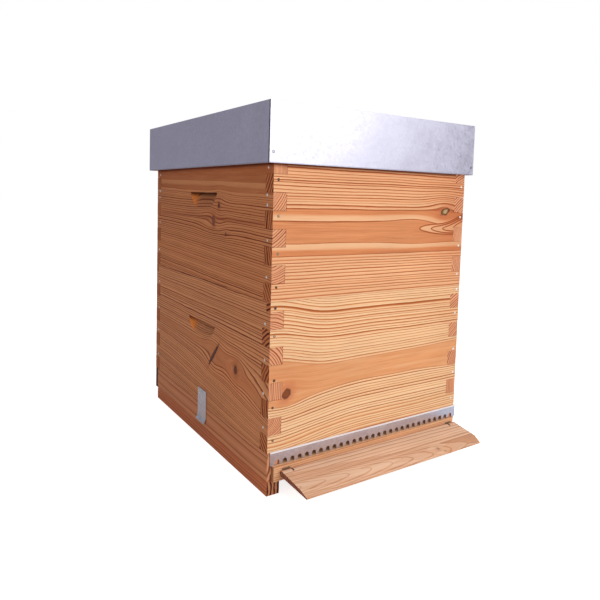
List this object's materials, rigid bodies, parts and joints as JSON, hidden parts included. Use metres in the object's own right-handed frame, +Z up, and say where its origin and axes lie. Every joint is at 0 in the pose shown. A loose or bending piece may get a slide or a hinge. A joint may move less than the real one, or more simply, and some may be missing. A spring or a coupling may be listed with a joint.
{
  "type": "beehive",
  "caption": "Stacked movable-frame beehive with finger-jointed wooden boxes, arched entrance strip, folding flight board and sheet-covered lid.",
  "frame": {"origin": "middle of the outline on the ground", "axes": "+Z up, the entrance and flight board face -Y, +X to the right seen from behind the entrance side looking along +Y"},
  "size_m": [0.451, 0.614, 0.614],
  "materials": {
    "pine": "planed, finger-jointed, visible end grain",
    "stand_wood": "sawn and planed",
    "dark_wood": "sawn, darkened",
    "flight_wood": "planed",
    "frame_wood": "planed, pale",
    "cover_wood": "plywood",
    "wax": "embossed beeswax sheet",
    "insulation": "foam board",
    "galvanised": "galvanised sheet",
    "strip_metal": "punched galvanised strip",
    "plain_steel": "zinc plated"
  },
  "bodies": {
    "base": {"left_side_rail": "stand_wood", "right_side_rail": "stand_wood", "left_runner": "stand_wood", "right_runner": "stand_wood", "front_sill_plank": "stand_wood", "middle_floor_plank": "stand_wood", "rear_floor_plank": "stand_wood", "back_rail": "dark_wood", "left_hinge_ear": "plain_steel", "right_hinge_ear": "plain_steel", "left_hinge_pin": "plain_steel", "right_hinge_pin": "plain_steel"},
    "flight": {"flight_board": "flight_wood"},
    "strip": {"entrance_strip": "strip_metal"},
    "lower_box": {"lower_front_wall": "pine", "lower_back_wall": "pine", "lower_left_wall": "pine", "lower_right_wall": "pine", "lower_front_frame_rest": "plain_steel", "lower_back_frame_rest": "plain_steel", "left_locating_plate": "plain_steel", "right_locating_plate": "plain_steel"},
    "lower_frames": {"lower_frame_01": "frame_wood", "lower_frame_02": "frame_wood", "lower_frame_03": "frame_wood", "lower_frame_04": "frame_wood", "lower_frame_05": "frame_wood", "lower_frame_06": "frame_wood", "lower_frame_07": "frame_wood", "lower_frame_08": "frame_wood", "lower_frame_09": "frame_wood", "lower_frame_10": "frame_wood"},
    "upper_box": {"upper_front_wall": "pine", "upper_back_wall": "pine", "upper_left_wall": "pine", "upper_right_wall": "pine", "upper_front_frame_rest": "plain_steel", "upper_back_frame_rest": "plain_steel"},
    "upper_frames": {"upper_frame_01": "frame_wood", "upper_frame_02": "frame_wood", "upper_frame_03": "frame_wood", "upper_frame_04": "frame_wood", "upper_frame_05": "frame_wood", "upper_frame_06": "frame_wood", "upper_frame_07": "frame_wood", "upper_frame_08": "frame_wood", "upper_frame_09": "frame_wood", "upper_frame_10": "frame_wood"},
    "inner_cover": {"cover_front_batten": "cover_wood", "cover_back_batten": "cover_wood", "cover_left_batten": "cover_wood", "cover_right_batten": "cover_wood", "cover_board": "cover_wood"},
    "lid": {"lid_sheet": "galvanised", "lid_front_rail": "stand_wood", "lid_back_rail": "stand_wood", "lid_left_rail": "stand_wood", "lid_right_rail": "stand_wood", "lid_ceiling_board": "cover_wood", "lid_insulation": "insulation"}
  },
  "joints": [
    {"name": "lower_box_lift", "type": "slide", "parent": "base", "child": "lower_box", "axis": [0, 0, 1], "range_m": [0, 0.3]},
    {"name": "lower_frames_lift", "type": "slide", "parent": "lower_box", "child": "lower_frames", "axis": [0, 0, 1], "range_m": [0, 0.25]},
    {"name": "upper_box_lift", "type": "slide", "parent": "lower_frames", "child": "upper_box", "axis": [0, 0, 1], "range_m": [0, 0.3]},
    {"name": "upper_frames_lift", "type": "slide", "parent": "upper_box", "child": "upper_frames", "axis": [0, 0, 1], "range_m": [0, 0.25]},
    {"name": "inner_cover_lift", "type": "slide", "parent": "upper_frames", "child": "inner_cover", "axis": [0, 0, 1], "range_m": [0, 0.12]},
    {"name": "lid_lift", "type": "slide", "parent": "inner_cover", "child": "lid", "axis": [0, 0, 1], "range_m": [0, 0.25]},
    {"name": "flight_board_fold", "type": "hinge", "parent": "base", "child": "flight", "pos_m": [0.00475, -0.2356, 0.0386], "axis": [1, 0, 0], "range_deg": [-90, 0]},
    {"name": "entrance_strip_slide", "type": "slide", "parent": "base", "child": "strip", "axis": [0, -1, 0], "range_m": [0, 0.03]}
  ]
}
